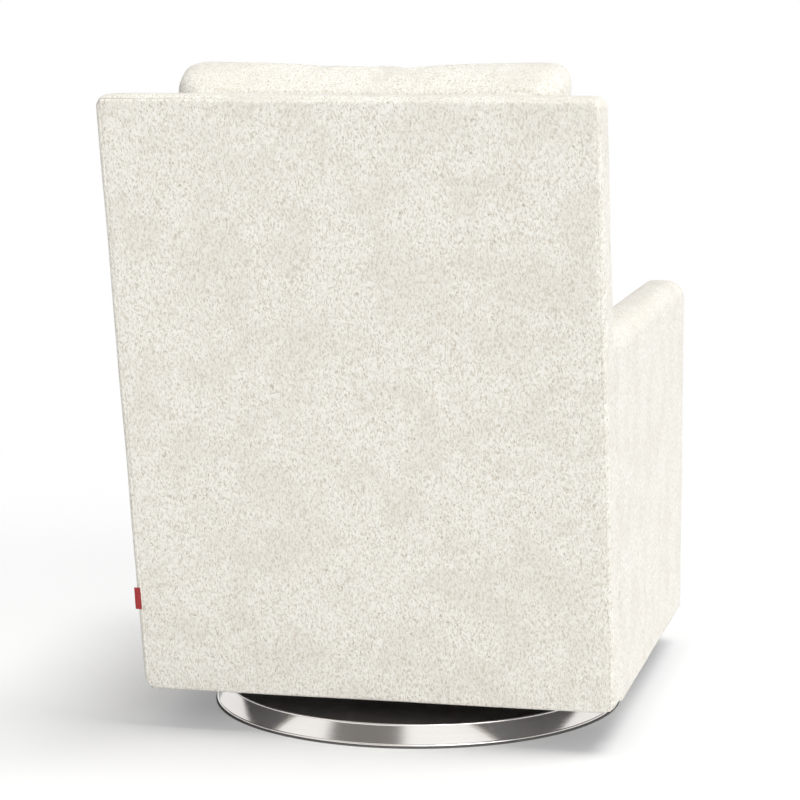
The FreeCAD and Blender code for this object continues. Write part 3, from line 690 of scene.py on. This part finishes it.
def make_side_tag():
    back_plane = (tag_low.z - panel_foot.z) / math.cos(back_rake)
    climb = (tag_high.z - tag_low.z) / math.cos(back_rake)
    rings = []
    for row in range(tag_rows + 1):
        share = row / tag_rows
        foot = panel_foot + up_the_back * (back_plane + climb * share)
        bend = tag_wave * math.sin(share * 5.0)
        ring = []
        for step in range(tag_turn_steps + 1):
            turn = math.radians(90 - 180 * step / tag_turn_steps)
            x = tag_fold_x - tag_half_gap + tag_half_gap * math.cos(turn)
            ring.append(foot + Vector((x, 0, 0)) + out_of_back * (bend + tag_half_gap * math.sin(turn)))
        ring.append(foot + Vector((tag_seam_x, 0, 0)) - out_of_back * tag_half_gap)
        ring.append(foot + Vector((tag_seam_x, 0, 0)) + out_of_back * tag_half_gap)
        rings.append(ring)
    return skin("side_tag_ribbon", rings, tag_ribbon())


side_tag_ribbon = make_side_tag()
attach(side_tag_ribbon, "chair")
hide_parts("side_tag")


# Dust cover
# Black non-woven cambric tacked under the frame, with an opening for the mechanism. It sags a
# little between its edges, and a row of staples holds its rim.

cambric_low, cambric_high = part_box("dust_cover")
cambric_thickness = 0.0012
cambric_sag = 0.0016
cambric_rings = 14
cambric_steps = 40
opening_half_x = 0.159
opening_half_y = 0.150
opening_corner = 0.020
opening_center_y = 0.010


def cambric():
    """Fibres pressed into a dull black felt."""
    finish = Finish("black_cambric")
    fibre = finish.grain(finish.place((1.0, 0.35, 1.0)), 700.0, 3.0, 0.7)
    cross = finish.grain(finish.place((0.35, 1.0, 1.0)), 700.0, 3.0, 0.7)
    felt = fibre.math("MAXIMUM", fibre, cross)
    shade = finish.blend(felt, (0.008, 0.008, 0.009), (0.035, 0.034, 0.036))
    return finish.surface(shade, 0.92, felt, 0.0004, 0.5, **{"Specular IOR Level": 0.15})


def round_corner_path(half_x, half_y, corner, center_y, steps):
    """Points on a rectangle with round corners, the same count for every size."""
    points = []
    for quarter in range(4):
        side_x = 1 if quarter in (0, 3) else -1
        side_y = 1 if quarter in (0, 1) else -1
        for step in range(steps):
            turn = math.radians(90 * (quarter + step / (steps - 1)))
            points.append(Vector((side_x * (half_x - corner) + corner * math.cos(turn),
                                  center_y + side_y * (half_y - corner) + corner * math.sin(turn), 0)))
    return points


def make_dust_cover():
    middle_y = (cambric_low.y + cambric_high.y) / 2
    inner = round_corner_path(opening_half_x, opening_half_y, opening_corner, opening_center_y,
                              cambric_steps)
    outer = round_corner_path(cambric_high.x, (cambric_high.y - cambric_low.y) / 2, 0.002, middle_y,
                              cambric_steps)
    rings = []
    for near_point, far_point in zip(inner, outer):
        under = []
        for step in range(cambric_rings + 1):
            share = step / cambric_rings
            place = near_point.lerp(far_point, share)
            sag = cambric_sag * math.sin(math.pi * share) * (0.7 + 0.3 * wander(place, 9.0, 5.0))
            under.append(Vector((place.x, place.y, cambric_low.z - sag)))
        over = [point + Vector((0, 0, cambric_thickness)) for point in reversed(under)]
        rings.append(under + over)
    return skin("dust_cover_cambric", rings, cambric(), closed=True)


dust_cover_cambric = make_dust_cover()
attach(dust_cover_cambric, "chair")
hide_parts("dust_cover")


def tube(path, radius, sides):
    """Rings of points round a path, carried along it without twist."""
    rings = []
    normal = None
    for i, place in enumerate(path):
        way = (path[min(i + 1, len(path) - 1)] - path[max(i - 1, 0)]).normalized()
        if normal is None:
            normal = way.orthogonal().normalized()
        normal = (normal - way * normal.dot(way)).normalized()
        side = way.cross(normal)
        ring = [place + (normal * math.cos(turn) + side * math.sin(turn)) * radius
                for turn in (2 * math.pi * k / sides for k in range(sides))]
        rings.append(ring)
    return rings


class Tree:
    """A Geometry Nodes tree under construction, with named inputs."""

    def __init__(self, name, inputs):
        self.group = bpy.data.node_groups.new(name, "GeometryNodeTree")
        face = self.group.interface
        face.new_socket("Geometry", in_out="INPUT", socket_type="NodeSocketGeometry")
        self.names = {}
        for label, kind in inputs.items():
            self.names[label] = face.new_socket(label, in_out="INPUT", socket_type=kind).identifier
        face.new_socket("Geometry", in_out="OUTPUT", socket_type="NodeSocketGeometry")
        self.source = self.group.nodes.new("NodeGroupInput")
        self.out = self.group.nodes.new("NodeGroupOutput")

    def given(self, label):
        return self.source.outputs[label]

    def add(self, kind, settings=None, sockets=None, output=0):
        made = self.group.nodes.new(kind)
        for key, value in (settings or {}).items():
            setattr(made, key, value)
        for key, value in (sockets or {}).items():
            if isinstance(value, bpy.types.NodeSocket):
                self.group.links.new(value, made.inputs[key])
            else:
                made.inputs[key].default_value = value
        return made.outputs[output]

    def finish(self, geometry):
        whole = self.add("GeometryNodeRealizeInstances", None, {"Geometry": geometry})
        painted = self.add("GeometryNodeSetMaterial", None,
                           {"Geometry": whole, "Material": self.given("Material")})
        self.group.links.new(painted, self.out.inputs["Geometry"])

    def grow(self, name, mesh, values):
        """The tree's result on a mesh, as a piece."""
        holder = bpy.data.objects.new(name + "_seed", mesh)
        bpy.context.scene.collection.objects.link(holder)
        modifier = holder.modifiers.new("tree", "NODES")
        modifier.node_group = self.group
        for label, value in values.items():
            modifier[self.names[label]] = value
        graph = bpy.context.evaluated_depsgraph_get()
        result = bpy.data.meshes.new_from_object(holder.evaluated_get(graph))
        bpy.data.objects.remove(holder)
        return add_piece(name, result, values["Material"])


def line_mesh(name, points, closed=False):
    """A mesh that is only a line through points."""
    mesh = bpy.data.meshes.new(name)
    edges = [(i, i + 1) for i in range(len(points) - 1)]
    if closed:
        edges.append((len(points) - 1, 0))
    mesh.from_pydata(points, edges, [])
    return mesh


def spare_part(name, rings):
    """A shape that only Geometry Nodes use: it is hidden and removed afterwards."""
    shape = skin(name, rings, None)
    shape.hide_render = True
    return shape


staple_crown = 0.011
staple_wire = 0.0006
staple_leg = 0.0020
staple_bend = 0.0005
staple_drop = 0.0003
staple_spacing = 0.048
staple_margin = 0.009

half_crown = staple_crown / 2
staple_path = [Vector((-half_crown, 0, staple_leg)), Vector((-half_crown, 0, staple_drop)),
               Vector((-half_crown + staple_bend, 0, 0)), Vector((half_crown - staple_bend, 0, 0)),
               Vector((half_crown, 0, staple_drop)), Vector((half_crown, 0, staple_leg))]
staple_shape = spare_part("staple_shape", tube(staple_path, staple_wire, 6))

staple_row = Tree("staple_row", {"Spacing": "NodeSocketFloat", "Staple": "NodeSocketObject",
                                 "Material": "NodeSocketMaterial"})
tack_line = staple_row.add("GeometryNodeMeshToCurve", None, {"Mesh": staple_row.given("Geometry")})
tack_places = staple_row.add("GeometryNodeResampleCurve", {"mode": "LENGTH"},
                             {"Curve": tack_line, "Length": staple_row.given("Spacing")})
tack_way = staple_row.add("FunctionNodeAlignRotationToVector", {"axis": "X"},
                          {"Vector": staple_row.add("GeometryNodeInputTangent")})
staple_source = staple_row.add("GeometryNodeObjectInfo", None, {"Object": staple_row.given("Staple")},
                               "Geometry")
staple_row.finish(staple_row.add("GeometryNodeInstanceOnPoints", None, {
    "Points": tack_places, "Instance": staple_source, "Rotation": tack_way}))


def bare_wire(name, shade, gloss):
    """Drawn steel wire: fine lines along it and a thin uneven oil film."""
    finish = Finish(name)
    where = finish.place()
    lines = finish.grain(where, 900.0, 2.0)
    film = finish.grain(where, 60.0, 3.0)
    darker = tuple(v * 0.6 for v in shade)
    colour = finish.blend(film, darker, shade)
    return finish.surface(colour, gloss + lines * 0.15 + film * 0.1, lines, 0.0001, 0.3, Metallic=1.0)


tack_level = cambric_low.z - staple_wire
tack_path = [Vector((point.x, point.y, tack_level)) for point in round_corner_path(
    cambric_high.x - staple_margin, (cambric_high.y - cambric_low.y) / 2 - staple_margin, 0.006,
    (cambric_low.y + cambric_high.y) / 2, 4)]
dust_cover_staples = staple_row.grow("dust_cover_staples", line_mesh("tack_line", tack_path, True), {
    "Spacing": staple_spacing, "Staple": staple_shape, "Material": bare_wire("staple_wire",
                                                                           (0.55, 0.55, 0.56), 0.30)})
bpy.data.objects.remove(staple_shape)
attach(dust_cover_staples, "chair")


# Seat springs and webbing
# Zigzag springs of round wire run from front to back under the deck, five side by side, and seven
# elastic bands cross the back between its posts.

zigzag_wire = 0.0019
zigzag_bend_radius = 0.014
zigzag_bend_steps = 7
zigzag_sides = 10
band_thickness = 0.0015
band_core = 0.0006
band_ribs = 12
band_relief = 0.0003
band_steps = 30


def solids_of(node):
    """The lowest and highest corner of each separate solid in a node, from left to right or upwards."""
    work = bmesh.new()
    work.from_mesh(nodes[node].data)
    bmesh.ops.remove_doubles(work, verts=work.verts, dist=merge_distance)
    left = set(work.verts)
    found = []
    while left:
        group = {left.pop()}
        edge = list(group)
        while edge:
            vert = edge.pop()
            for link in vert.link_edges:
                other = link.other_vert(vert)
                if other in left:
                    left.remove(other)
                    group.add(other)
                    edge.append(other)
        low = Vector(min(v.co[axis] for v in group) for axis in range(3))
        high = Vector(max(v.co[axis] for v in group) for axis in range(3))
        found.append((low, high))
    work.free()
    return sorted(found, key=lambda pair: (round(pair[0].x, 3), round(pair[0].z, 3)))


copies = Tree("copies_at_points", {"Shape": "NodeSocketObject", "Material": "NodeSocketMaterial"})
copy_source = copies.add("GeometryNodeObjectInfo", None, {"Object": copies.given("Shape")}, "Geometry")
copies.finish(copies.add("GeometryNodeInstanceOnPoints", None, {
    "Points": copies.given("Geometry"), "Instance": copy_source}))

zigzags = solids_of("seat_springs")
zigzag_low, zigzag_high = zigzags[0]
zigzag_half = (zigzag_high.x - zigzag_low.x) / 2 - zigzag_wire
zigzag_front = zigzag_low.y + zigzag_wire
zigzag_rear = zigzag_high.y - zigzag_wire
zigzag_gaps = 2 * round((zigzag_rear - zigzag_front) / (4 * zigzag_bend_radius)) - 1
zigzag_pitch = (zigzag_rear - zigzag_front) / zigzag_gaps
zigzag_level = (zigzag_low.z + zigzag_high.z) / 2


def zigzag_path():
    """Bars across the seat joined by half-round bends."""
    bend = zigzag_pitch / 2
    reach = zigzag_half - bend
    points = []
    for bar in range(zigzag_gaps + 1):
        y = zigzag_front + bar * zigzag_pitch
        way = 1 if bar % 2 == 0 else -1
        points.append(Vector((-way * reach, y, zigzag_level)))
        points.append(Vector((0, y, zigzag_level)))
        if bar == zigzag_gaps:
            points.append(Vector((way * reach, y, zigzag_level)))
            break
        for step in range(zigzag_bend_steps):
            turn = math.pi * step / (zigzag_bend_steps - 1)
            points.append(Vector((way * (reach + bend * math.sin(turn)),
                                  y + bend - bend * math.cos(turn), zigzag_level)))
    return points


spring_wire_finish = bare_wire("spring_wire", (0.32, 0.31, 0.30), 0.32)
zigzag_shape = spare_part("zigzag_shape", tube(zigzag_path(), zigzag_wire, zigzag_sides))
zigzag_places = [Vector(((low.x + high.x) / 2, 0, 0)) for low, high in zigzags]
seat_zigzags = copies.grow("seat_zigzag_springs", line_mesh("zigzag_places", zigzag_places), {
    "Shape": zigzag_shape, "Material": spring_wire_finish})
bpy.data.objects.remove(zigzag_shape)
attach(seat_zigzags, "chair")
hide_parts("seat_springs")


def elastic():
    """Black and grey elastic webbing: rubber cords show as ribs under a plain weave."""
    finish = Finish("elastic_webbing")
    where = finish.place()
    weft = finish.add("ShaderNodeTexWave", {"wave_type": "BANDS", "bands_direction": "X"},
                      {"Vector": where, "Scale": 260.0, "Distortion": 0.4})
    fibre = finish.grain(where, 800.0, 2.0)
    weave = weft * 0.6 + fibre * 0.4
    shade = finish.blend(weave, (0.020, 0.020, 0.021), (0.095, 0.093, 0.090))
    return finish.surface(shade, 0.85, weave, 0.0004, 0.6)


bands = solids_of("back_webbing")
band_low, band_high = bands[0]


def band_rings():
    """A band from post to post with ribs along it, set on its own middle."""
    height = (band_high.z - band_low.z) - band_thickness * math.sin(back_rake)
    half = height / 2 / math.cos(back_rake)
    rings = []
    for step in range(band_steps + 1):
        x = band_low.x + (band_high.x - band_low.x) * step / band_steps
        front, rear = [], []
        for rib in range(2 * band_ribs + 1):
            across = half * (rib / band_ribs - 1)
            lift = band_core + band_relief * (rib % 2)
            front.append(Vector((x, 0, 0)) + up_the_back * across - out_of_back * lift)
            rear.append(Vector((x, 0, 0)) + up_the_back * across + out_of_back * lift)
        rings.append(front + rear[::-1])
    return rings


band_shape = spare_part("band_shape", band_rings())
band_places = [Vector((0, (low.y + high.y) / 2, (low.z + high.z) / 2)) for low, high in bands]
back_bands = copies.grow("back_webbing_bands", line_mesh("band_places", band_places), {
    "Shape": band_shape, "Material": elastic()})
bpy.data.objects.remove(band_shape)
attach(back_bands, "chair")
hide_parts("back_webbing")


# Rocking springs
# Four coil springs of round wire with closed ends stand between the turntable and the chair.
# The real springs shorten and lengthen as the chair rocks on its pivots; these are made at one length.

coil_wire = 0.0023
coil_turns = 7
coil_closed_turns = 0.9
coil_steps_per_turn = 28
coil_sides = 12


def coil_path(low, high):
    """A helix whose end turns lie flat on their cups."""
    middle = (low + high) / 2
    reach = (high.x - low.x) / 2 - coil_wire
    bottom = low.z + coil_wire
    travel = high.z - low.z - 2 * coil_wire
    steps = coil_turns * coil_steps_per_turn
    points = []
    for step in range(steps + 1):
        turn = coil_turns * step / steps
        free = min(max(turn - coil_closed_turns, 0.0), coil_turns - 2 * coil_closed_turns)
        rise = free / (coil_turns - 2 * coil_closed_turns)
        closed = 2 * coil_wire
        ends = min(turn, coil_closed_turns) + max(0.0, turn - coil_turns + coil_closed_turns)
        height = bottom + closed * ends + (travel - 2 * closed * coil_closed_turns) * rise
        points.append(Vector((middle.x + reach * math.cos(2 * math.pi * turn),
                              middle.y + reach * math.sin(2 * math.pi * turn), height)))
    return points


for corner in ("front_left", "front_right", "rear_left", "rear_right"):
    coil_low, coil_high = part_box("rock_spring_" + corner)
    coil = skin("rock_spring_wire_" + corner, tube(coil_path(coil_low, coil_high), coil_wire, coil_sides),
                spring_wire_finish)
    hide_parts("rock_spring_" + corner)
    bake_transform(coil)


# Wooden frame
# Hardwood posts and rails and birch plywood boards, sawn and lightly sanded, glued and stapled.

def hardwood(name, along):
    """Pale beech: long fibres, growth bands and short dark pores along one direction."""
    stretch = tuple(0.06 if axis == along else 1.0 for axis in range(3))
    finish = Finish(name)
    where = finish.place(stretch)
    bands = finish.grain(where, 90.0, 3.0, 0.6, 0.4)
    pores = finish.between(finish.grain(where, 900.0, 2.0), 0.62, 0.72)
    shade = finish.blend(bands, (0.46, 0.29, 0.15), (0.66, 0.47, 0.28))
    shade = finish.blend(pores * 0.5, shade, (0.25, 0.14, 0.07))
    return finish.surface(shade, 0.62 + bands * 0.1, bands - pores * 0.3, 0.0003, 0.4)


def plywood(name, along, across):
    """Birch plywood: pale face grain, and alternating veneers on the edges."""
    stretch = tuple(0.06 if axis == along else 1.0 for axis in range(3))
    finish = Finish(name)
    face = finish.grain(finish.place(stretch), 60.0, 3.0, 0.6, 0.6)
    direction = "XYZ"[across]
    veneers = finish.add("ShaderNodeTexWave", {"wave_type": "BANDS", "bands_direction": direction,
                                               "wave_profile": "TRI"},
                         {"Vector": finish.place(), "Scale": 95.0})
    shade = finish.blend(face, (0.60, 0.44, 0.27), (0.75, 0.60, 0.41))
    shade = finish.blend(finish.between(veneers, 0.45, 0.55) * 0.35, shade, (0.42, 0.27, 0.15))
    return finish.surface(shade, 0.66, face, 0.0002, 0.3)


slot_of = {part["node"]: part["material_slot"] for part in frame["record"]["subparts"]}
timber = {}
for node, slot_name in slot_of.items():
    if slot_name not in ("hardwood", "plywood"):
        continue
    low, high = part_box(node)
    spans = list(high - low)
    along = spans.index(max(spans))
    across = spans.index(min(spans))
    key = slot_name + "_" + "xyz"[along] + "xyz"[across]
    if key not in timber and slot_name == "hardwood":
        timber[key] = hardwood(key, along)
    if key not in timber:
        timber[key] = plywood(key, along, across)
    show([node], timber[key])


# Mechanism
# Pressed steel plates on a ball bearing, riveted and bolted together: black paint on the plates,
# bright zinc on the fasteners, bare steel balls in a nylon cage, rubber stops and a rubber foot ring.

def zinc_plate():
    """Bright zinc plating: faint blue and straw tints and fine scratches."""
    finish = Finish("zinc_plate")
    where = finish.place()
    tint = finish.grain(where, 70.0, 2.0)
    scratch = finish.grain(finish.place((1.0, 0.1, 1.0)), 1500.0, 2.0)
    shade = finish.blend(tint, (0.58, 0.60, 0.64), (0.70, 0.68, 0.60))
    return finish.surface(shade, 0.24 + scratch * 0.16, scratch, 0.0001, 0.2, Metallic=1.0)


def ball_steel():
    """Ground steel under a thin smear of grease."""
    finish = Finish("ball_steel")
    smear = finish.grain(finish.place(), 300.0, 3.0)
    shade = finish.blend(smear, (0.44, 0.41, 0.34), (0.72, 0.72, 0.72))
    return finish.surface(shade, 0.08 + smear * 0.2, smear, 0.0001, 0.2, Metallic=1.0)


def moulded(name, shade, gloss, pit_scale):
    """Moulded plastic or rubber: a fine mould texture and slight shade changes."""
    finish = Finish(name)
    where = finish.place()
    pits = finish.grain(where, pit_scale, 2.0)
    flow = finish.grain(where, 25.0, 2.0)
    darker = tuple(v * 0.78 for v in shade)
    colour = finish.blend(flow, darker, shade)
    return finish.surface(colour, gloss + pits * 0.1, pits, 0.0002, 0.35)


mechanism_finish = {
    "zinc_steel": zinc_plate(),
    "bearing_steel": ball_steel(),
    "nylon": moulded("nylon", (0.78, 0.77, 0.72), 0.38, 900.0),
    "foot_rubber": moulded("foot_rubber", (0.150, 0.145, 0.140), 0.72, 600.0),
    "black_steel": black_paint,
    "spring_steel": spring_wire_finish,
}
for node, slot_name in slot_of.items():
    if slot_name in mechanism_finish:
        show([node], mechanism_finish[slot_name])
show(["base_pan"], painted_steel("pan_paint", (0.20, 0.18, 0.165), 0.34))
